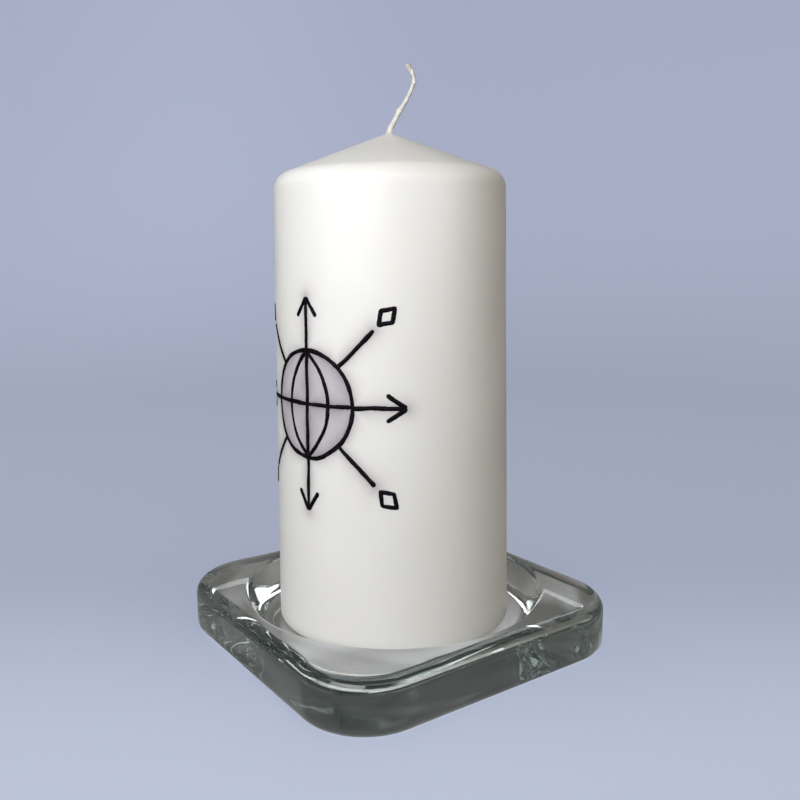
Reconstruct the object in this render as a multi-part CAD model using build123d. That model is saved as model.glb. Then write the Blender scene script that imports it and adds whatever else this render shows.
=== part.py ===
from build123d import *
from math import atan, cos, degrees, radians, sin, tan
import os

# A pillar candle with a drawn compass wheel, standing in a square pressed-glass plate.
# Millimetres. The origin is the middle of the plate's underside, +Z is up, and the plate's
# sides lie along X and Y. The drawing faces about -Y.

# Candle
candle_diameter = 70.0
side_height = 132.4           # from the base to the corner where the cone starts
cone_rise = 13.6
shoulder_radius = 5.4
base_edge_radius = 1.0
overdip_thickness = 1.5       # white skin over the pressed core

# Wick
wick_diameter = 1.4
plug_length = 10.0            # wax plug that closes the wick's hole at the base
wick_heading = 55.0           # degrees from +X, the way that the wick leans
# The bare wick: distance out along the heading, and height over the candle's tip
wick_bends = [(0.0, 0.9), (1.5, 3.3), (3.05, 6.2), (5.4, 10.0), (7.1, 13.4),
              (7.8, 15.6), (7.55, 17.4), (6.5, 19.1), (5.6, 20.8)]
bend_share = 0.45             # how much of the shorter run an arc takes up

# Glass plate
plate_height = 15.1
plate_margin = 5.8            # flat glass between the well's rim and the middle of a side
plate_corner_radius = 20.0
plate_draft = 1.4             # degrees that the sides lean in towards the underside
plate_top_radius = 4.0
plate_bottom_radius = 3.0
well_depth = 7.1
well_gap = 4.8                # clear floor round the candle, to the foot of the well's wall
well_wall_run = 5.2           # how far the wall leans out on its way up
well_floor_radius = 5.0
well_rim_radius = 2.5

# Drawing, raised strokes of black wax paint
drawing_turn = 12.6           # degrees from -Y towards +X
drawing_height = 67.6         # centre of the ring above the candle's base
stroke_width = 1.15
stroke_thickness = 0.25
ring_radius = 15.0
arc_reach = 7.4               # how far the two upright arcs stand out from the middle
ray_reach = 29.8              # tips of the rays and arrows from the centre
arrow_barb = 6.6
arrow_angle = 34.0            # degrees between a barb and its shaft
diamond_distance = 34.8
diamond_half_length = 3.6
diamond_half_width = 2.8

# Worked out from the sizes above
candle_radius = candle_diameter / 2
cone_angle = degrees(atan(cone_rise / candle_radius))
seat_height = plate_height - well_depth
tip_height = seat_height + side_height + cone_rise
well_floor = candle_radius + well_gap
well_rim = well_floor + well_wall_run
plate_side = 2 * (well_rim + plate_margin)
centre_height = seat_height + drawing_height


def save(shape, node):
    shape.label = node
    export_step(shape, f"parts/{node}.step")


def turned(points, radii):
    """A solid of revolution from its half outline, whose first and last points are on the axis."""
    outline = FilletPolyline(*[(x, 0, z) for x, z in points], radius=radii)
    closing = Line(outline @ 1, outline @ 0)
    return revolve(make_face(Wire([*outline.edges(), *closing.edges()])), Axis.Z)


def upright_rod(radius, low, high):
    return Pos(0, 0, low) * Cylinder(radius, high - low, align=(Align.CENTER, Align.CENTER, Align.MIN))


def candle_body(inset, edge_radius):
    """The candle's outer shape, drawn in from its side and its cone by inset."""
    corner = side_height + inset * (tan(radians(cone_angle)) - 1 / cos(radians(cone_angle)))
    tip = side_height + cone_rise - inset / cos(radians(cone_angle))
    outline = [(0, 0), (candle_radius - inset, 0), (candle_radius - inset, corner), (0, tip)]
    body = turned(outline, [edge_radius, shoulder_radius - inset])
    return Pos(0, 0, seat_height) * body


def wick_hole():
    return upright_rod(wick_diameter / 2, seat_height, tip_height)


def wax_core():
    return candle_body(overdip_thickness, 0) - wick_hole()


def wax_overdip():
    return candle_body(0, base_edge_radius) - candle_body(overdip_thickness, 0) - wick_hole()


def wick_hole_plug():
    return upright_rod(wick_diameter / 2, seat_height, seat_height + plug_length)


def wick():
    heading = radians(wick_heading)
    route = [Vector(0, 0, seat_height + plug_length)]
    route += [Vector(out * cos(heading), out * sin(heading), tip_height + up) for out, up in wick_bends]
    radii = []
    for before, here, after in zip(route, route[1:], route[2:]):
        half_turn = radians((here - before).get_angle(after - here)) / 2
        shorter = min((here - before).length, (after - here).length)
        radii.append(bend_share * shorter / tan(half_turn))
    print("wick radii", [round(radius, 1) for radius in radii])
    path = FilletPolyline(*route, radius=radii)
    return sweep(Plane(path @ 0, z_dir=path % 0) * Circle(wick_diameter / 2), path=path)


def glass_plate():
    outline = RectangleRounded(plate_side, plate_side, plate_corner_radius)
    block = Pos(0, 0, plate_height) * extrude(outline, plate_height, dir=(0, 0, -1), taper=plate_draft)
    block = fillet(block.edges().group_by(Axis.Z)[0], plate_bottom_radius)
    block = fillet(block.edges().group_by(Axis.Z)[-1], plate_top_radius)
    above = plate_height + well_rim_radius
    well = turned([(0, seat_height), (well_floor, seat_height), (well_rim, plate_height),
                   (well_rim, above), (0, above)], [well_floor_radius, 0, 0])
    dish = block - well
    rim = dish.edges().filter_by(GeomType.CIRCLE).group_by(Axis.Z)[-1].sort_by(SortBy.RADIUS)[-1]
    return fillet(rim, well_rim_radius)


def flattened(reach):
    """How far out a point of the drawing lies, seen straight from in front of its middle."""
    return candle_radius * sin(reach / candle_radius)


def pressed_on(flat, right, up):
    """A flat shape pressed straight onto the wax, its middle right of and above the ring's centre."""
    bearing = radians(drawing_turn - 90) + right / candle_radius
    outward = Vector(cos(bearing), sin(bearing), 0)
    along = Vector(-sin(bearing), cos(bearing), 0)
    front = Plane(outward * candle_diameter + Vector(0, 0, centre_height + up), x_dir=along, z_dir=outward)
    column = extrude(front * flat, candle_diameter, dir=-outward)
    skin_radius = candle_radius + stroke_thickness
    return column & (upright_rod(skin_radius, seat_height, tip_height)
                     - upright_rod(candle_radius, seat_height, tip_height))


def ring_outline(offset):
    return Ellipse(flattened(ring_radius + offset), ring_radius + offset)


def drawn_ring():
    return pressed_on(ring_outline(stroke_width / 2) - ring_outline(-stroke_width / 2), 0, 0)


def drawn_grid():
    """The upright, the level line and the two arcs inside the ring, run into one another."""
    lines = [Line((0, -ring_radius), (0, ring_radius)),
             Line((-ring_radius, 0), (ring_radius, 0))]
    for side in (-1, 1):
        lines.append(ThreePointArc((0, -ring_radius), (side * flattened(arc_reach), 0), (0, ring_radius)))
    strokes = Sketch() + [trace(line, stroke_width) for line in lines]
    return pressed_on(strokes & ring_outline(-stroke_width / 2), 0, 0)


def at_bearing(flat, angle, distance):
    """A flat shape that points along +X, turned to an angle and pressed on at a distance from the centre."""
    return pressed_on(Rot(0, 0, angle) * flat, distance * cos(radians(angle)), distance * sin(radians(angle)))


def drawn_ray(angle, barbs):
    """A stroke from the ring outwards, with or without an arrow's barbs."""
    half = (ray_reach - ring_radius) / 2
    strokes = trace(Line((-half, 0), (half, 0)), stroke_width)
    if barbs:
        back = half - arrow_barb * cos(radians(arrow_angle))
        spread = arrow_barb * sin(radians(arrow_angle))
        strokes += trace(Polyline((back, spread), (half, 0), (back, -spread)), stroke_width)
    return at_bearing(strokes, angle, ring_radius + half) - drawn_ring()


def drawn_diamond(angle):
    outside = Polygon((diamond_half_length, 0), (0, diamond_half_width),
                      (-diamond_half_length, 0), (0, -diamond_half_width))
    return at_bearing(outside - offset(outside, -stroke_width, kind=Kind.INTERSECTION), angle, diamond_distance)


os.makedirs("parts", exist_ok=True)
save(glass_plate(), "glass_plate")
save(wax_core(), "wax_core")
save(wax_overdip(), "wax_overdip")
save(wick(), "wick")
save(wick_hole_plug(), "wick_hole_plug")
save(drawn_ring(), "drawn_ring")
save(drawn_grid(), "drawn_grid")
for word, angle in {"right": 0, "up": 90, "left": 180, "down": 270}.items():
    save(drawn_ray(angle, True), f"drawn_arrow_{word}")
for word, angle in {"up_right": 45, "up_left": 135, "down_left": 225, "down_right": 315}.items():
    save(drawn_ray(angle, False), f"drawn_ray_{word}")
    save(drawn_diamond(angle), f"drawn_diamond_{word}")
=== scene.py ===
import bpy
from math import atan2, cos, exp, hypot, pi, radians, sin, sqrt, tan
from mathutils import Matrix, Vector, noise


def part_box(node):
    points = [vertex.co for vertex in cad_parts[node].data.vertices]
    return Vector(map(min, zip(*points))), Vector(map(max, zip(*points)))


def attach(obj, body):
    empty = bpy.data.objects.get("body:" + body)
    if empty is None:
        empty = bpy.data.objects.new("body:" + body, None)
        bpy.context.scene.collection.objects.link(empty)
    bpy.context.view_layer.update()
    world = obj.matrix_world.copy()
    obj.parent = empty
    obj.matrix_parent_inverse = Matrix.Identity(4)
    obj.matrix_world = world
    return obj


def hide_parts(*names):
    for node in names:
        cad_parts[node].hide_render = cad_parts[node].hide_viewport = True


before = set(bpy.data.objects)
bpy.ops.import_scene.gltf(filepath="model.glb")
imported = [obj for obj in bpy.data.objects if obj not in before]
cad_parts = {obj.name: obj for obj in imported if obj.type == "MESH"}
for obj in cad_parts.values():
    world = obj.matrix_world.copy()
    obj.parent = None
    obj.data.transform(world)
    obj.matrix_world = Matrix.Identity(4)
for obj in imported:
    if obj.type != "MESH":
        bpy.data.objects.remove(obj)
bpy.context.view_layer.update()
mm = 0.001

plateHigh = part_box("glass_plate")[1]
waxLow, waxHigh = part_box("wax_overdip")
candleRadius = waxHigh.x
candleBase = waxLow.z
candleTip = waxHigh.z
print("frame loaded")


# mesh helpers, used by every piece below

def newPiece(name, points, faces, material, body):
    mesh = bpy.data.meshes.new(name)
    mesh.from_pydata(points, [], faces)
    mesh.polygons.foreach_set("use_smooth", [True] * len(mesh.polygons))
    mesh.materials.append(material)
    mesh.validate()
    piece = bpy.data.objects.new(name, mesh)
    bpy.context.scene.collection.objects.link(piece)
    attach(piece, body)
    return piece


def bridge(faces, first, second, count, closed=True):
    # quads between two rings of points that start at the numbers first and second
    for i in range(count if closed else count - 1):
        j = (i + 1) % count
        faces.append((first + i, first + j, second + j, second + i))


def arcPoints(centre, radius, start, end, steps):
    # start and end in degrees, both ends included
    return [(centre[0] + radius * cos(radians(start + (end - start) * i / steps)),
             centre[1] + radius * sin(radians(start + (end - start) * i / steps))) for i in range(steps + 1)]


def circlePoints(radius, count):
    return [(radius * cos(2 * pi * i / count), radius * sin(2 * pi * i / count)) for i in range(count)]


def linePoints(start, end, steps):
    # the first point is left out, because the run before it ends there
    return [(start[0] + (end[0] - start[0]) * i / steps,
             start[1] + (end[1] - start[1]) * i / steps) for i in range(1, steps + 1)]


def smoothStep(low, high, value):
    # from 0 at low to 1 at high, whichever is larger
    share = min(max((value - low) / (high - low), 0.0), 1.0)
    return share * share * (3 - 2 * share)


# node helpers

def newMaterial(name):
    material = bpy.data.materials.new(name)
    material.use_nodes = True
    shader = material.node_tree.nodes["Principled BSDF"]
    return material, material.node_tree, shader


def add(tree, kind, inputs=None, **settings):
    # one node, its settings, and its inputs by name or number: a socket is linked, a value is set
    made = tree.nodes.new(kind)
    for name, value in settings.items():
        setattr(made, name, value)
    for key, value in (inputs or {}).items():
        if isinstance(value, bpy.types.NodeSocket):
            tree.links.new(value, made.inputs[key])
        else:
            made.inputs[key].default_value = value
    return made


def calc(tree, operation, first, second=0.0, third=0.0):
    return add(tree, "ShaderNodeMath", {0: first, 1: second, 2: third}, operation=operation).outputs[0]


def mixedSum(tree, first, firstShare, second, secondShare):
    return calc(tree, "ADD", calc(tree, "MULTIPLY", first, firstShare), calc(tree, "MULTIPLY", second, secondShare))


def lengthOf(tree, first, second):
    return calc(tree, "SQRT", mixedSum(tree, first, first, second, second))


def ramp(tree, value, low, high, outLow=0.0, outHigh=1.0):
    return add(tree, "ShaderNodeMapRange", {"Value": value, "From Min": low, "From Max": high,
               "To Min": outLow, "To Max": outHigh}, interpolation_type="SMOOTHSTEP").outputs["Result"]


def blendColour(tree, share, first, second, mode="MIX"):
    made = add(tree, "ShaderNodeMix", data_type="RGBA", blend_type=mode)
    for key, value in ((0, share), (6, first), (7, second)):
        if isinstance(value, bpy.types.NodeSocket):
            tree.links.new(value, made.inputs[key])
        else:
            made.inputs[key].default_value = value
    return made.outputs[2]


def rowPosition(tree):
    return add(tree, "ShaderNodeTexCoord").outputs["Object"]


def newGroup(name, inputs, outputs):
    # inputs and outputs: name to socket kind, or to (kind, default)
    group = bpy.data.node_groups.new(name, "ShaderNodeTree")
    for label, kind in inputs.items():
        kind, default = kind if isinstance(kind, tuple) else (kind, None)
        socket = group.interface.new_socket(label, in_out="INPUT", socket_type=kind)
        if default is not None:
            socket.default_value = default
    for label, kind in outputs.items():
        group.interface.new_socket(label, in_out="OUTPUT", socket_type=kind)
    return group, group.nodes.new("NodeGroupInput").outputs, group.nodes.new("NodeGroupOutput").inputs


def place(tree, group, inputs):
    made = add(tree, "ShaderNodeGroup", node_tree=group)
    for key, value in inputs.items():
        if isinstance(value, bpy.types.NodeSocket):
            tree.links.new(value, made.inputs[key])
        else:
            made.inputs[key].default_value = value
    return made.outputs


# camera: seen from the plate's front right corner, a little above the candle's middle

cameraSettings = {"aside": -3.386 * mm, "distance": 258.376 * mm, "height": 114.109 * mm, "azimuth": 55.414,
                  "pitch": 3.090, "roll": -0.610, "focal": 843.96 / 800, "shiftX": 0.02535, "shiftY": -0.1125}


def makeCamera(s):
    data = bpy.data.cameras.new("camera")
    data.sensor_width = 36
    data.lens = s["focal"] * data.sensor_width
    data.shift_x = s["shiftX"]
    data.shift_y = s["shiftY"]
    data.clip_start = 0.01
    camera = bpy.data.objects.new("camera", data)
    bpy.context.scene.collection.objects.link(camera)
    turn = Matrix.Rotation(radians(s["azimuth"]), 4, "Z")
    stand = turn @ Matrix.Translation((s["aside"], -s["distance"], s["height"]))
    camera.matrix_world = (stand @ Matrix.Rotation(radians(90 - s["pitch"]), 4, "X")
                           @ Matrix.Rotation(radians(s["roll"]), 4, "Z"))
    bpy.context.scene.camera = camera


makeCamera(cameraSettings)

# stage: a pale floor that sweeps up into a backdrop all round

stageSettings = {
    "flat": 0.55, "sweep": 0.7, "wall": 0.55, "under": 0.15 * mm, "colour": (0.50, 0.545, 0.69, 1),
    "glowNear": (0.265, 0.29, 0.367, 1), "glowMiddle": (0.155, 0.172, 0.233, 1),
    "glowFar": (0.235, 0.259, 0.352, 1), "glowAhead": (-0.055, 0.085), "glowAway": (0.45, 1.15),
    # a painted pool of light on the paper
    "paintedLightPool": (0.30, 0.45, 1.13),    # how far left of the candle, how wide, how much lighter
    # what the glass sees instead of the paper: a dim room, a table with a painted pool of light in front and
    # painted shade further back, and a window
    "room": (0.13, 0.135, 0.135, 1), "table": (0.36, 0.36, 0.375, 1), "tableShade": (0.15, 0.143, 0.13, 1),
    "tableAhead": (10 * mm, 50 * mm), "roomAway": (0.10, 0.35),
    "tableStreak": (0.66, 0.66, 0.68, 1), "streaks": 85.0, "streakAhead": (-20 * mm, 30 * mm, 0.25, 0.9),
    "window": (1.6, 1.65, 1.7, 1), "windowShine": 6.0, "windowHeight": (0.12, 0.22, 0.62, 0.75),
    "windowSpread": (0.10, 0.45), "afterWax": 0.3,
}


def makeStage(s):
    profile = linePoints((0.0, 0.0), (s["flat"], 0.0), 8)
    profile += arcPoints((s["flat"], s["sweep"]), s["sweep"], -90, 0, 24)[1:]
    profile += linePoints(profile[-1], (s["flat"] + s["sweep"], s["sweep"] + s["wall"]), 4)
    count, points, faces = 96, [(0, 0, -s["under"])], []
    for radius, height in profile:
        points += [(x, y, height - s["under"]) for x, y in circlePoints(radius, count)]
    faces += [(0, 1 + i, 1 + (i + 1) % count) for i in range(count)]
    for row in range(len(profile) - 1):
        bridge(faces, 1 + (row + 1) * count, 1 + row * count, count)
    material, tree, shader = newMaterial("stagePaper")
    parts = add(tree, "ShaderNodeSeparateXYZ", {0: rowPosition(tree)}).outputs
    away = lengthOf(tree, parts["X"], parts["Y"])
    front = radians(cameraSettings["azimuth"] - 90)
    ahead = mixedSum(tree, parts["X"], cos(front), parts["Y"], sin(front))
    aside = mixedSum(tree, parts["X"], -sin(front), parts["Y"], cos(front))
    # painted light on the paper: its glow is lighter near the candle and far off, darker between, with a painted
    # pool of light left of the candle
    glow = blendColour(tree, ramp(tree, ahead, *s["glowAhead"]), s["glowMiddle"], s["glowNear"])
    glow = blendColour(tree, ramp(tree, away, *s["glowAway"]), glow, s["glowFar"])
    left, reach, gain = s["paintedLightPool"]
    lit = ramp(tree, calc(tree, "ABSOLUTE", calc(tree, "ADD", aside, left)), 0.0, reach, gain, 1.0)
    tree.links.new(lit, shader.inputs["Emission Strength"])
    tree.links.new(glow, shader.inputs["Emission Color"])
    shader.inputs["Base Color"].default_value = s["colour"]
    shader.inputs["Roughness"].default_value = 0.9
    shader.inputs["Specular IOR Level"].default_value = 0.1
    # painted light and shade on the table: lit in front of the candle, shaded further back
    table = blendColour(tree, ramp(tree, ahead, *s["tableAhead"]), s["tableShade"], s["table"])
    # streaks that run round the plate, which the camera never sees directly
    turned = add(tree, "ShaderNodeCombineXYZ", {0: calc(tree, "MULTIPLY", away, s["streaks"]),
                                                1: calc(tree, "DIVIDE", parts["X"], away),
                                                2: calc(tree, "DIVIDE", parts["Y"], away)}).outputs["Vector"]
    streak = add(tree, "ShaderNodeTexNoise", {"Vector": turned, "Scale": 1.1, "Detail": 1.0}).outputs["Fac"]
    strong = calc(tree, "MULTIPLY", ramp(tree, streak, 0.36, 0.64), ramp(tree, ahead, *s["streakAhead"]))
    table = blendColour(tree, strong, table, s["tableStreak"])
    seen = blendColour(tree, ramp(tree, away, *s["roomAway"]), table, s["room"])
    low, full, high, none = s["windowHeight"]
    facing = ramp(tree, calc(tree, "DIVIDE", ahead, away), *s["windowSpread"])
    tall = calc(tree, "MULTIPLY", ramp(tree, parts["Z"], low, full), ramp(tree, parts["Z"], high, none, 1.0, 0.0))
    window = calc(tree, "MULTIPLY", facing, tall)
    seen = blendColour(tree, window, seen, s["window"])
    path = add(tree, "ShaderNodeLightPath").outputs
    mirrored = calc(tree, "MULTIPLY", window, path["Is Reflection Ray"])
    shine = calc(tree, "MULTIPLY_ADD", mirrored, s["windowShine"] - 1, 1.0)
    first = calc(tree, "LESS_THAN", path["Diffuse Depth"], 0.5)
    strength = add(tree, "ShaderNodeMix", {"Factor": first, "A": s["afterWax"], "B": shine}).outputs["Result"]
    room = add(tree, "ShaderNodeEmission", {"Color": seen, "Strength": strength})
    shown = add(tree, "ShaderNodeMixShader", {0: path["Is Camera Ray"],
                                              1: room.outputs["Emission"], 2: shader.outputs["BSDF"]})
    tree.links.new(shown.outputs["Shader"], tree.nodes["Material Output"].inputs["Surface"])
    mesh = bpy.data.meshes.new("stage")
    mesh.from_pydata(points, [], faces)
    mesh.polygons.foreach_set("use_smooth", [True] * len(mesh.polygons))
    mesh.materials.append(material)
    stage = bpy.data.objects.new("stage", mesh)
    bpy.context.scene.collection.objects.link(stage)
    stage.visible_diffuse = False    # the paper throws no lavender light back onto the candle
    return stage


stage = makeStage(stageSettings)

# lights: azimuth is measured from the camera's side, positive to the right

lightSettings = {
    "key": {"azimuth": -29, "elevation": 27.5, "distance": 0.46, "size": (0.38, 0.30), "power": 1.95,
            "colour": (1.0, 1.0, 1.0), "on": "others", "inGlass": False},
    "fill": {"azimuth": 80, "elevation": 16, "distance": 0.8, "size": (0.5, 0.5), "power": 0.95,
             "colour": (1.0, 0.88, 0.68), "on": "others", "inGlass": False},
    "ceiling": {"azimuth": 10, "elevation": 86, "distance": 1.3, "size": (1.1, 1.1), "power": 6.0,
                "colour": (1.0, 1.0, 1.0), "on": "paper", "inGlass": True},
    # a pale ceiling that only the glass shows, in the rounding of its top edge
    "glassSky": {"azimuth": 180, "elevation": 66, "distance": 0.9, "size": (1.1, 0.9), "power": 7.0,
                 "colour": (0.96, 0.98, 1.0), "on": "glass", "inGlass": True},
}
glassOnly = bpy.data.collections.new("glassOnly")    # the plate joins it when it is made


def makeLights(s, worldColour, worldStrength):
    aim = Vector((0, 0, candleTip / 2))
    # each lamp lights only what its row names: the paper, all that isn't the paper, or the glass
    paper = bpy.data.collections.new("paper")
    paper.objects.link(stage)
    others = bpy.data.collections.new("notPaper")
    others.objects.link(stage)
    others.collection_objects[0].light_linking.link_state = "EXCLUDE"
    receivers = {"paper": paper, "others": others, "glass": glassOnly}
    for name, light in s.items():
        data = bpy.data.lights.new(name, "AREA")
        data.shape = "RECTANGLE"
        data.size, data.size_y = light["size"]
        data.energy = light["power"]
        data.color = light["colour"]
        lamp = bpy.data.objects.new(name, data)
        bpy.context.scene.collection.objects.link(lamp)
        bearing = radians(cameraSettings["azimuth"] + light["azimuth"] - 90)
        level = radians(light["elevation"])
        outward = Vector((cos(bearing) * cos(level), sin(bearing) * cos(level), sin(level)))
        lamp.location = aim + outward * light["distance"]
        lamp.rotation_mode = "QUATERNION"
        lamp.rotation_quaternion = outward.to_track_quat("Z", "Y")
        lamp.visible_transmission = light["inGlass"]    # or it shows as a bright sheet inside the glass
        lamp.light_linking.receiver_collection = receivers[light["on"]]
    world = bpy.data.worlds.new("studio")
    world.use_nodes = True
    background = world.node_tree.nodes["Background"]
    background.inputs["Color"].default_value = worldColour
    background.inputs["Strength"].default_value = worldStrength
    bpy.context.scene.world = world
    bpy.context.scene.view_settings.view_transform = "Standard"
    # light crosses thick glass many times before it leaves
    cycles = bpy.context.scene.cycles
    cycles.max_bounces = cycles.glossy_bounces = cycles.transmission_bounces = 24


makeLights(lightSettings, (0.98, 0.98, 0.97, 1), 0.14)
print("camera, stage and lights made")

# glass plate: pressed glass, a rounded square with a round well

plateSettings = {
    "cornerRadius": 20.0 * mm, "draft": 1.4, "topRadius": 4.0 * mm, "bottomRadius": 3.0 * mm,
    "wellDepth": 7.1 * mm, "wellFloor": 39.8 * mm, "wellRim": 45.0 * mm, "floorRadius": 5.0 * mm,
    "rimRadius": 2.5 * mm, "floorGap": 0.05 * mm, "around": 512, "wave": 0.14 * mm,
    "sideWave": 0.25, "waveLength": 26 * mm, "swirl": 0.02 * mm, "swirlPitch": 6.5 * mm, "margin": 5.8 * mm,
    "waveSeed": 7,
    "inset": 0.03 * mm,    # keeps the wavy plate inside the CAD plate
}


def squareOutline(half, cornerRadius, count):
    # points of a rounded square, evenly spread in bearing, starting on +X
    points, inner = [], half - cornerRadius
    for i in range(count):
        bearing = 2 * pi * i / count
        x, y = cos(bearing), sin(bearing)
        ax, ay = abs(x), abs(y)
        if ay * half <= inner * ax:
            reach = half / ax
        elif ax * half <= inner * ay:
            reach = half / ay
        else:
            along = inner * (ax + ay)
            reach = along + sqrt(along * along - 2 * inner * inner + cornerRadius * cornerRadius)
        points.append((x * reach, y * reach))
    return points


def filletArc(corner, before, after, radius, steps):
    # the round that joins two straight runs of a profile
    a = (Vector(before) - Vector(corner)).normalized()
    b = (Vector(after) - Vector(corner)).normalized()
    half = a.angle(b) / 2
    centre = Vector(corner) + (a + b).normalized() * (radius / sin(half))
    start = Vector(corner) + a * (radius / tan(half)) - centre
    end = Vector(corner) + b * (radius / tan(half)) - centre
    turn = atan2(start.x * end.y - start.y * end.x, start.dot(end))
    points = []
    for i in range(steps + 1):
        angle = turn * i / steps
        points.append((centre.x + start.x * cos(angle) - start.y * sin(angle),
                       centre.y + start.x * sin(angle) + start.y * cos(angle)))
    return points


def makePlate(s):
    count, height, half = s["around"], plateHigh.z, s["wellRim"] + s["margin"] - s["inset"]
    lean = tan(radians(s["draft"]))
    corners = {"underEdge": (-lean * height, 0.0), "topEdge": (0.0, height)}
    # offsets from the full square (minus is inwards) and heights, from the underside up and over
    outer = filletArc(corners["underEdge"], (-half, 0.0), corners["topEdge"], s["bottomRadius"], 10)
    upper = filletArc(corners["topEdge"], corners["underEdge"], (-half, height), s["topRadius"], 12)
    side = linePoints(outer[-1], upper[0], 9)[:-1]
    outline = outer + side + upper
    seat = height - s["wellDepth"] - s["floorGap"]
    rim = (s["wellRim"], height)
    foot = (s["wellFloor"], seat)
    rimArc = filletArc(rim, (2 * s["wellRim"], height), foot, s["rimRadius"], 10)
    footArc = filletArc(foot, rim, (0.0, seat), s["floorRadius"], 16)
    wall = linePoints(rimArc[-1], footArc[0], 10)[:-1]
    well = rimArc + wall + footArc

    rings = []
    for share in (0.15, 0.3, 0.45, 0.6, 0.75, 0.9):
        reach = half + outer[0][0]
        rings.append([(x * share, y * share, 0.0) for x, y in squareOutline(reach, s["cornerRadius"], count)])
    for offset, level in outline:
        ring = squareOutline(half + offset, s["cornerRadius"] + offset, count)
        rings.append([(x, y, level) for x, y in ring])
    edge = rings[-1]
    circle = circlePoints(rimArc[0][0], count)
    for share in (0.12, 0.25, 0.4, 0.55, 0.7, 0.85):
        rings.append([(a[0] + (b[0] - a[0]) * share, a[1] + (b[1] - a[1]) * share, height)
                      for a, b in zip(edge, circle)])
    for radius, level in well:
        rings.append([(x, y, level) for x, y in circlePoints(radius, count)])
    for share in (0.85, 0.68, 0.5, 0.34, 0.17):
        rings.append([(x, y, seat) for x, y in circlePoints(footArc[-1][0] * share, count)])

    # a fire-polished press leaves every free surface slightly wavy, but the underside stays flat
    noise.seed_set(s["waveSeed"])    # without a seed noise_vector starts from the clock
    points = [(0.0, 0.0, 0.0)]
    for ring in rings:
        for x, y, z in ring:
            share = s["wave"] * smoothStep(0.0, 4 * mm, z)
            spot = Vector((x, y, z)) / s["waveLength"]
            push = noise.noise_vector(spot)
            inwards = 1 - share * s["sideWave"] * (0.5 + push.x) / half
            reach = hypot(x, y)
            # the flow of the press leaves faint rings round the well
            flow = s["swirl"] * (1 + sin(2 * pi * reach / s["swirlPitch"] + 6 * push.y))
            flow *= smoothStep(s["wellRim"], s["wellRim"] + 3 * mm, reach)
            sag = (0.5 + push.z) * (1.0 if reach > s["wellFloor"] else 0.35)
            points.append((x * inwards, y * inwards, z - share * sag - flow * smoothStep(8 * mm, height, z)))
    points.append((0.0, 0.0, seat))
    faces = [(0, 1 + (i + 1) % count, 1 + i) for i in range(count)]
    for row in range(len(rings) - 1):
        bridge(faces, 1 + row * count, 1 + (row + 1) * count, count)
    last = 1 + (len(rings) - 1) * count
    faces += [(len(points) - 1, last + i, last + (i + 1) % count) for i in range(count)]
    plate = newPiece("glassPlate", points, faces, makeGlass(glassSettings), "plate")
    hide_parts("glass_plate")
    glassOnly.objects.link(plate)


glassSettings = {"tint": (0.67, 0.705, 0.69, 1), "density": 28.0, "ior": 1.50, "roughness": 0.03,
                 "lampsThrough": 0.6}


def makeGlass(s):
    material, tree, shader = newMaterial("pressedGlass")
    shader.inputs["Base Color"].default_value = (0.985, 0.99, 0.985, 1)
    shader.inputs["Transmission Weight"].default_value = 1.0
    shader.inputs["IOR"].default_value = s["ior"]
    position = rowPosition(tree)
    smear = add(tree, "ShaderNodeTexNoise", {"Vector": position, "Scale": 55.0, "Detail": 4.0}).outputs["Fac"]
    dull = ramp(tree, smear, 0.35, 0.75, s["roughness"] * 0.6, s["roughness"] * 1.8)
    tree.links.new(dull, shader.inputs["Roughness"])
    ripple = add(tree, "ShaderNodeTexNoise", {"Vector": position, "Scale": 60.0, "Detail": 1.0}).outputs["Fac"]
    bump = add(tree, "ShaderNodeBump", {"Height": ripple, "Strength": 0.02, "Distance": 0.001})
    tree.links.new(bump.outputs["Normal"], shader.inputs["Normal"])
    absorb = add(tree, "ShaderNodeVolumeAbsorption", {"Color": s["tint"], "Density": s["density"]})
    output = tree.nodes["Material Output"]
    tree.links.new(absorb.outputs["Volume"], output.inputs["Volume"])
    # part of a lamp's light goes straight through, so that the glass throws a pale shadow
    clear = add(tree, "ShaderNodeBsdfTransparent", {"Color": (0.80, 0.82, 0.81, 1)})
    lamp = add(tree, "ShaderNodeLightPath").outputs["Is Shadow Ray"]
    mixed = add(tree, "ShaderNodeMixShader", {0: calc(tree, "MULTIPLY", lamp, s["lampsThrough"]),
                                              1: shader.outputs["BSDF"], 2: clear.outputs["BSDF"]})
    tree.links.new(mixed.outputs["Shader"], output.inputs["Surface"])
    return material


makePlate(plateSettings)
print("glass plate made")

# candle: overdipped pillar

candleSettings = {
    "sideHeight": 132.4 * mm, "coneRise": 13.6 * mm, "shoulder": 5.4 * mm, "baseEdge": 1.0 * mm, "skin": 1.5 * mm,
    "wickRadius": 0.7 * mm, "around": 320, "wave": 0.09 * mm, "waveLength": 24 * mm,
}

drawingSettings = {"turn": 12.6, "height": 67.6 * mm, "stroke": 1.3 * mm, "thickness": 0.25 * mm,
                   "ring": 15.0 * mm, "arcReach": 7.4 * mm, "rayReach": 29.8 * mm, "barb": 6.6 * mm,
                   "barbAngle": 34.0, "diamondDistance": 34.8 * mm, "diamondLength": 3.6 * mm,
                   "diamondWidth": 2.8 * mm, "sink": 0.05 * mm}


def waxWave(x, y, z, s):
    # how far the dipped surface stands out or in there; quiet near the base
    spot = Vector((x, y, z * 0.6)) / s["waveLength"]
    return s["wave"] * (noise.noise(spot) + 0.4 * noise.noise(spot * 2.3)) - s["wave"] * 0.3


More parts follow.
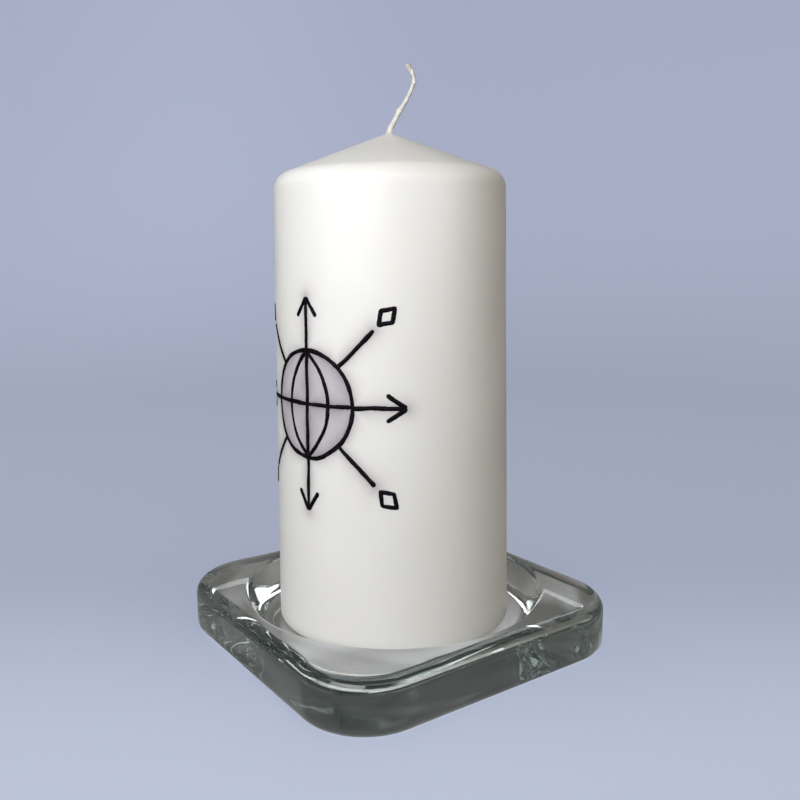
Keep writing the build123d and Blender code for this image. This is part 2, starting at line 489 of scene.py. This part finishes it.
def makeCandle(s):
    count, slope = s["around"], s["coneRise"] / candleRadius
    side, tip = (candleRadius, s["sideHeight"]), (0.0, s["sideHeight"] + s["coneRise"])
    baseArc = filletArc((candleRadius, 0.0), (0.0, 0.0), side, s["baseEdge"], 6)
    shoulderArc = filletArc(side, (candleRadius, 0.0), tip, s["shoulder"], 18)
    outer = baseArc + linePoints(baseArc[-1], shoulderArc[0], 110)[:-1] + shoulderArc
    top = [(s["wickRadius"], tip[1] - s["wickRadius"] * slope)]
    outer += linePoints(outer[-1], top[0], 40)
    inset = s["skin"]
    innerSide = side[1] + inset * slope - inset * sqrt(1 + slope * slope)
    innerTip = tip[1] - inset * sqrt(1 + slope * slope)
    inner = [(s["wickRadius"], innerTip - s["wickRadius"] * slope)]
    inner += filletArc((candleRadius - inset, innerSide), (0.0, innerTip), (candleRadius - inset, 0.0),
                       s["shoulder"] - inset, 6)
    inner += [(candleRadius - inset, 0.0)]
    profile = outer + inner
    points = []
    for number, (radius, level) in enumerate(profile):
        for i in range(count):
            bearing = 2 * pi * i / count
            x, y, z = radius * cos(bearing), radius * sin(bearing), candleBase + level
            if number < len(outer):
                out = waxWave(x, y, z, s) * smoothStep(0.0, 3 * mm, level)
                out *= smoothStep(s["wickRadius"], 4 * mm, radius)
                if level > s["sideHeight"] - s["shoulder"]:
                    z += out
                else:
                    x, y = x + out * cos(bearing), y + out * sin(bearing)
            points.append((x, y, z))
    faces = []
    for row in range(len(profile)):
        bridge(faces, row * count, ((row + 1) % len(profile)) * count, count)
    candle = newPiece("waxOverdip", points, faces, makeWax(waxSettings, drawingSettings), "candle")
    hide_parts("wax_overdip")


def makeInkShadeAndWash(s):
    # painted shade in the wax round the drawn lines, a soft edge along them; and the area inside the ring, for its
    # lilac wash
    group, given, result = newGroup("inkShadeAndWash", {"Position": "NodeSocketVector", "Spread": "NodeSocketFloat"},
                                    {"Edge": "NodeSocketFloat", "Inside": "NodeSocketFloat"})
    turned = add(group, "ShaderNodeVectorRotate", {"Vector": given["Position"], "Angle": radians(90 - s["turn"])},
                 rotation_type="Z_AXIS").outputs["Vector"]
    parts = add(group, "ShaderNodeSeparateXYZ", {0: turned}).outputs
    across = calc(group, "MULTIPLY", calc(group, "ARCTAN2", parts["Y"], parts["X"]), candleRadius)
    up = calc(group, "SUBTRACT", parts["Z"], candleBase + s["height"])
    away = lengthOf(group, across, up)
    ringGap = calc(group, "ABSOLUTE", calc(group, "SUBTRACT", away, s["ring"]))
    bearing = calc(group, "ARCTAN2", up, across)
    beyond = calc(group, "MAXIMUM", calc(group, "SUBTRACT", away, s["rayReach"]), 0.0)
    within = calc(group, "MAXIMUM", calc(group, "SUBTRACT", s["ring"], away), 0.0)
    gap = ringGap
    # the four arrows cross the ring, and the four rays start from it
    for start, past in ((0.0, beyond), (pi / 4, calc(group, "ADD", beyond, within))):
        fold = calc(group, "PINGPONG", calc(group, "ADD", bearing, start), pi / 4)
        beside = calc(group, "MULTIPLY", away, calc(group, "SINE", fold))
        gap = calc(group, "MINIMUM", gap, lengthOf(group, beside, past))
    beyondInk = calc(group, "MAXIMUM", calc(group, "SUBTRACT", gap, s["stroke"] / 2), 0.0)
    spreads = calc(group, "DIVIDE", beyondInk, given["Spread"])
    fade = calc(group, "EXPONENT", calc(group, "MULTIPLY", spreads, -1.0))
    group.links.new(fade, result["Edge"])
    group.links.new(ramp(group, away, s["ring"] - 0.6 * mm, s["ring"], 1.0, 0.0), result["Inside"])
    return group


# the darkening colour round the drawn lines, with its spread, is painted shade; lilac is the wash inside the ring
waxSettings = {"white": (0.93, 0.925, 0.90, 1), "cream": (0.90, 0.882, 0.85, 1), "inkShade": (0.60, 0.575, 0.605, 1),
               "inkShadeSpread": 1.7 * mm, "lilac": (0.635, 0.60, 0.665, 1),
               "roughness": (0.36, 0.50), "scatter": 0.35, "depth": 1.2 * mm}


def makeWax(s, drawing):
    material, tree, shader = newMaterial("overdipWax")
    position = rowPosition(tree)
    cloud = add(tree, "ShaderNodeTexNoise", {"Vector": position, "Scale": 22.0, "Detail": 3.0}).outputs["Fac"]
    body = blendColour(tree, ramp(tree, cloud, 0.3, 0.75), s["white"], s["cream"])
    shadow = place(tree, makeInkShadeAndWash(drawing), {"Position": position, "Spread": s["inkShadeSpread"]})
    patchy = add(tree, "ShaderNodeTexNoise", {"Vector": position, "Scale": 180.0, "Detail": 3.0}).outputs["Fac"]
    # painted shade: the wax is darkened in a soft, patchy edge along the lines
    edge = calc(tree, "MULTIPLY", shadow["Edge"], ramp(tree, patchy, 0.2, 0.8, 0.75, 1.0))
    body = blendColour(tree, edge, body, blendColour(tree, 1.0, body, s["inkShade"], "MULTIPLY"))
    inside = calc(tree, "MULTIPLY", shadow["Inside"], ramp(tree, patchy, 0.25, 0.75, 0.85, 1.0))
    body = blendColour(tree, inside, body, blendColour(tree, 1.0, body, s["lilac"], "MULTIPLY"))
    tree.links.new(body, shader.inputs["Base Color"])
    smear = add(tree, "ShaderNodeTexNoise", {"Vector": position, "Scale": 70.0, "Detail": 5.0}).outputs["Fac"]
    tree.links.new(ramp(tree, smear, 0.3, 0.7, *s["roughness"]), shader.inputs["Roughness"])
    pits = add(tree, "ShaderNodeTexNoise", {"Vector": position, "Scale": 420.0, "Detail": 4.0}).outputs["Fac"]
    bump = add(tree, "ShaderNodeBump", {"Height": pits, "Strength": 0.05, "Distance": 0.0006})
    tree.links.new(bump.outputs["Normal"], shader.inputs["Normal"])
    shader.inputs["IOR"].default_value = 1.44
    shader.inputs["Subsurface Weight"].default_value = s["scatter"]
    shader.inputs["Subsurface Radius"].default_value = (1.0, 0.85, 0.65)
    shader.inputs["Subsurface Scale"].default_value = s["depth"]
    return material


makeCandle(candleSettings)
print("candle made")

# the wax core and the plug keep their shape and get pressed wax

def makeCoreWax():
    material, tree, shader = newMaterial("pressedWax")
    position = rowPosition(tree)
    grain = add(tree, "ShaderNodeTexVoronoi", {"Vector": position, "Scale": 900.0}).outputs["Distance"]
    tone = blendColour(tree, ramp(tree, grain, 0.1, 0.7), (0.90, 0.88, 0.83, 1), (0.80, 0.78, 0.72, 1))
    tree.links.new(tone, shader.inputs["Base Color"])
    tree.links.new(ramp(tree, grain, 0.0, 0.8, 0.5, 0.7), shader.inputs["Roughness"])
    bump = add(tree, "ShaderNodeBump", {"Height": grain, "Strength": 0.3, "Distance": 0.0004})
    tree.links.new(bump.outputs["Normal"], shader.inputs["Normal"])
    return material


coreWax = makeCoreWax()
for node in ("wax_core", "wick_hole_plug"):
    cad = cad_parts[node]
    cad.data.materials.clear()
    cad.data.materials.append(coreWax)

# wick: braided cotton, stiff with wax

wickSettings = {
    "heading": 55.0, "radius": 0.60 * mm, "foot": 0.98 * mm, "around": 28, "step": 0.12 * mm, "relief": 0.08 * mm,
    "pitch": 3.2 * mm, "buried": 12 * mm, "coat": 0.16 * mm, "coatReach": (14 * mm, 5 * mm), "footReach": 1.6 * mm,
    "frayed": 0.26 * mm, "frayReach": (3.2 * mm, 0.8 * mm), "tipRound": 0.6 * mm,
    "fuzz": 0.05 * mm, "fuzzLength": 1.3 * mm,
    "bends": [(0.0, 0.9), (1.5, 3.3), (3.05, 6.2), (5.4, 10.0), (7.1, 13.4), (7.8, 15.6), (7.55, 17.4),
              (6.5, 19.1), (5.6, 20.8)],
    # lumps of wax and frayed spots: how far along, on which side, how proud, how long
    "nubs": [(7.4, 2.9, 0.40, 0.9), (16.2, 2.6, 0.20, 0.5), (17.4, 0.2, 0.14, 0.6), (21.9, 2.8, 0.16, 0.7)],
}


def splineLine(points, name):
    # the smooth line of a spline through control points
    curve = bpy.data.curves.new(name, "CURVE")
    curve.dimensions = "3D"
    curve.resolution_u = 24
    spline = curve.splines.new("NURBS")
    spline.points.add(len(points) - 1)
    for point, spot in zip(spline.points, points):
        point.co = (*spot, 1.0)
    spline.order_u = 3
    spline.use_endpoint_u = True
    holder = bpy.data.objects.new(name, curve)
    bpy.context.scene.collection.objects.link(holder)
    bpy.context.view_layer.update()
    mesh = bpy.data.meshes.new_from_object(holder)
    line = [v.co.copy() for v in mesh.vertices]
    bpy.data.objects.remove(holder)
    bpy.data.meshes.remove(mesh)
    return line


def evenLine(line, step):
    # the same line with points a step apart
    lengths = [0.0]
    for a, b in zip(line, line[1:]):
        lengths.append(lengths[-1] + (b - a).length)
    count = max(2, round(lengths[-1] / step))
    result, k = [], 0
    for i in range(count + 1):
        want = lengths[-1] * i / count
        while k < len(line) - 2 and lengths[k + 1] < want:
            k += 1
        span = lengths[k + 1] - lengths[k]
        result.append(line[k].lerp(line[k + 1], (want - lengths[k]) / span if span else 0.0))
    return result


def makeWick(s):
    heading = radians(s["heading"])
    route = [Vector((0, 0, candleTip - s["buried"])), Vector((0, 0, candleTip - s["buried"] / 2))]
    for out, up in s["bends"]:
        route.append(Vector((out * mm * cos(heading), out * mm * sin(heading), candleTip + up * mm)))
    line = evenLine(splineLine(route, "wickLine"), s["step"])
    count, points, faces = s["around"], [], []
    cross = Vector((-sin(heading), cos(heading), 0.0))
    total = (len(line) - 1) * s["step"]
    for i, centre in enumerate(line):
        tangent = (line[min(i + 1, len(line) - 1)] - line[max(i - 1, 0)]).normalized()
        side = cross.cross(tangent).normalized()
        along = i * s["step"]
        bare = along - s["buried"]
        coat = smoothStep(*s["coatReach"], bare)
        radius = s["radius"] + (s["foot"] - s["radius"]) * exp(-max(bare, 0.0) / s["footReach"]) + s["coat"] * coat
        end = total - along
        radius += s["frayed"] * smoothStep(*s["frayReach"], end)
        if end < s["tipRound"]:
            radius *= sqrt(max(1 - (1 - end / s["tipRound"]) ** 2, 0.02))
        for k in range(count):
            angle = 2 * pi * k / count
            twist = 2 * pi * along / s["pitch"]
            over = max(cos(2 * angle + twist), cos(2 * angle - twist + pi / 2))
            out = radius + s["relief"] * (over - 0.6) * (1 - 0.75 * coat)
            for where, bearing, height, reach in s["nubs"]:
                far = ((bare / mm - where) / reach) ** 2
                out += height * mm * exp(-far) * max(cos(angle - bearing), 0.0) ** 2
            out += s["fuzz"] * noise.noise(Vector((cos(angle), sin(angle), along / s["fuzzLength"])))
            points.append(centre + side * (out * cos(angle)) + cross * (out * sin(angle)))
    for row in range(len(line) - 1):
        bridge(faces, row * count, (row + 1) * count, count)
    faces.append(tuple(range(count))[::-1])
    faces.append(tuple(range((len(line) - 1) * count, len(line) * count)))
    wick = newPiece("braidedWick", points, faces, makeCotton(), "candle")
    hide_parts("wick")


def makeCotton():
    material, tree, shader = newMaterial("waxedCotton")
    position = rowPosition(tree)
    fibre = add(tree, "ShaderNodeTexNoise", {"Vector": position, "Scale": 2600.0, "Detail": 4.0}).outputs["Fac"]
    tone = blendColour(tree, ramp(tree, fibre, 0.3, 0.7), (0.78, 0.77, 0.73, 1), (0.64, 0.61, 0.54, 1))
    height = add(tree, "ShaderNodeSeparateXYZ", {0: position}).outputs["Z"]
    atEnd = ramp(tree, height, candleTip + 18.5 * mm, candleTip + 20.5 * mm)
    tone = blendColour(tree, atEnd, tone, (0.56, 0.51, 0.43, 1))    # the cut end is bare cotton
    tree.links.new(tone, shader.inputs["Base Color"])
    tree.links.new(ramp(tree, fibre, 0.3, 0.7, 0.45, 0.65), shader.inputs["Roughness"])
    bump = add(tree, "ShaderNodeBump", {"Height": fibre, "Strength": 0.35, "Distance": 0.0001})
    tree.links.new(bump.outputs["Normal"], shader.inputs["Normal"])
    shader.inputs["Subsurface Weight"].default_value = 0.3
    shader.inputs["Subsurface Radius"].default_value = (1.0, 0.85, 0.65)
    shader.inputs["Subsurface Scale"].default_value = 0.4 * mm
    return material


makeWick(wickSettings)
print("wick made")

# drawing: raised strokes of wax paint, drawn by hand round the side

penSettings = {"step": 0.25 * mm, "wobble": 0.16 * mm, "wobbleLength": 7 * mm, "sides": 8, "press": 0.22,
               "grain": 0.18, "grainLength": 0.9 * mm}


def onWax(across, up, lift, s):
    # a point of the drawing, across and up from its middle, laid on the candle's side
    bearing = radians(s["turn"] - 90) + across / candleRadius
    x, y, z = candleRadius * cos(bearing), candleRadius * sin(bearing), candleBase + s["height"] + up
    out = candleRadius + waxWave(x, y, z, candleSettings) + lift
    return (out * cos(bearing), out * sin(bearing), z)


def inkStroke(points, faces, line, closed, width, seed, s):
    # one bead of paint along a flat line; its width and height vary as the pen does
    pen = penSettings
    flat = evenLine([Vector((x, y, 0.0)) for x, y in line], pen["step"])
    if closed:
        flat = flat[:-1]
    total, start, sides = len(flat), len(points), pen["sides"]
    for i, spot in enumerate(flat):
        before = flat[i - 1] if closed or i > 0 else flat[0]
        after = flat[(i + 1) % total] if closed or i < total - 1 else flat[-1]
        along = (after - before).normalized()
        beside = Vector((-along.y, along.x, 0.0))
        ghost = Vector((spot.x, spot.y, seed * 3.1 * mm)) / pen["wobbleLength"]
        drift = beside * noise.noise(ghost) * pen["wobble"] * 2
        press = 1 + pen["press"] * noise.noise(ghost * 2.1 + Vector((0, 0, 9)))
        taper = 1.0
        if not closed:
            end = min(i, total - 1 - i) * pen["step"] / (width * 0.5)
            taper = sqrt(max(1 - (1 - min(end, 1.0)) ** 2, 0.03))
        for k in range(sides + 1):
            across = cos(pi * k / sides)
            height = s["thickness"] * press * (1 - abs(across) ** 2.4) * (0.35 + 0.65 * taper)
            grain = 1 + pen["grain"] * noise.noise(Vector((spot.x, spot.y, k * 1.7 * mm)) / pen["grainLength"])
            out = spot + drift + beside * across * width * 0.5 * press * taper * grain
            points.append(onWax(out.x, out.y, height - (s["sink"] if k in (0, sides) else 0.0), s))
    row = sides + 1
    for i in range(total if closed else total - 1):
        first, second = start + i * row, start + ((i + 1) % total) * row
        for k in range(sides):
            faces.append((first + k, first + k + 1, second + k + 1, second + k))
        faces.append((first, second, second + sides, first + sides))
    if not closed:
        faces.append(tuple(range(start, start + row)))
        faces.append(tuple(range(start + (total - 1) * row, start + total * row))[::-1])


def turnedLine(line, degrees):
    ahead, aside = cos(radians(degrees)), sin(radians(degrees))
    return [(x * ahead - y * aside, x * aside + y * ahead) for x, y in line]


def ringLine(radius, count=120):
    # the last point is the first one again
    line = circlePoints(radius, count)
    return line + line[:1]


def makeDrawing(s, ink):
    reach, ring, barb = s["rayReach"], s["ring"], s["barb"]
    back, spread = barb * cos(radians(s["barbAngle"])), barb * sin(radians(s["barbAngle"]))
    inner = ring - s["stroke"] * 0.3
    bowRadius = (inner ** 2 + s["arcReach"] ** 2) / (2 * s["arcReach"])
    bow = [(s["arcReach"] - bowRadius + bowRadius * cos(a), bowRadius * sin(a))
           for a in [atan2(inner, bowRadius - s["arcReach"]) * (i / 20 - 1) for i in range(41)]]
    strokes = {"ring": [(ringLine(ring), True, 1.0)],
               "grid": [([(0, -inner), (0, inner)], False, 1.05), ([(-inner, 0), (inner, 0)], False, 0.95),
                        (bow, False, 0.95), ([(-x, y) for x, y in bow], False, 0.95)]}
    shaft = [(ring, 0), (reach - 0.8 * mm, 0)]
    for word, degrees in {"right": 0, "up": 90, "left": 180, "down": 270}.items():
        lines = [shaft, [(reach - back, spread), (reach, 0)], [(reach, 0), (reach - back, -spread)]]
        strokes[f"arrow_{word}"] = [(turnedLine(line, degrees), False, 1.0) for line in lines]
    for word, degrees in {"up_right": 45, "up_left": 135, "down_left": 225, "down_right": 315}.items():
        strokes[f"ray_{word}"] = [(turnedLine([(ring, 0), (reach, 0)], degrees), False, 1.0)]
        tall, wide, far = s["diamondLength"] - 0.5 * mm, s["diamondWidth"] - 0.5 * mm, s["diamondDistance"]
        loop = [(far + tall, 0), (far, wide), (far - tall, 0), (far, -wide), (far + tall, 0)]
        strokes[f"diamond_{word}"] = [(turnedLine(loop, degrees), True, 0.95)]
    for seed, (name, lines) in enumerate(strokes.items()):
        points, faces = [], []
        for number, (line, closed, width) in enumerate(lines):
            inkStroke(points, faces, line, closed, s["stroke"] * width, seed * 5 + number, s)
        piece = newPiece("ink_" + name, points, faces, ink, "candle")
        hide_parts("drawn_" + name)


def makeInk():
    material, tree, shader = newMaterial("blackLiner")
    position = rowPosition(tree)
    patch = add(tree, "ShaderNodeTexNoise", {"Vector": position, "Scale": 700.0, "Detail": 4.0}).outputs["Fac"]
    tone = blendColour(tree, ramp(tree, patch, 0.50, 0.85), (0.0015, 0.001, 0.002, 1), (0.02, 0.018, 0.024, 1))
    tree.links.new(tone, shader.inputs["Base Color"])
    tree.links.new(ramp(tree, patch, 0.3, 0.8, 0.5, 0.75), shader.inputs["Roughness"])
    shader.inputs["Specular IOR Level"].default_value = 0.04
    bump = add(tree, "ShaderNodeBump", {"Height": patch, "Strength": 0.25, "Distance": 0.0002})
    tree.links.new(bump.outputs["Normal"], shader.inputs["Normal"])
    return material


makeDrawing(drawingSettings, makeInk())
print("drawing made")
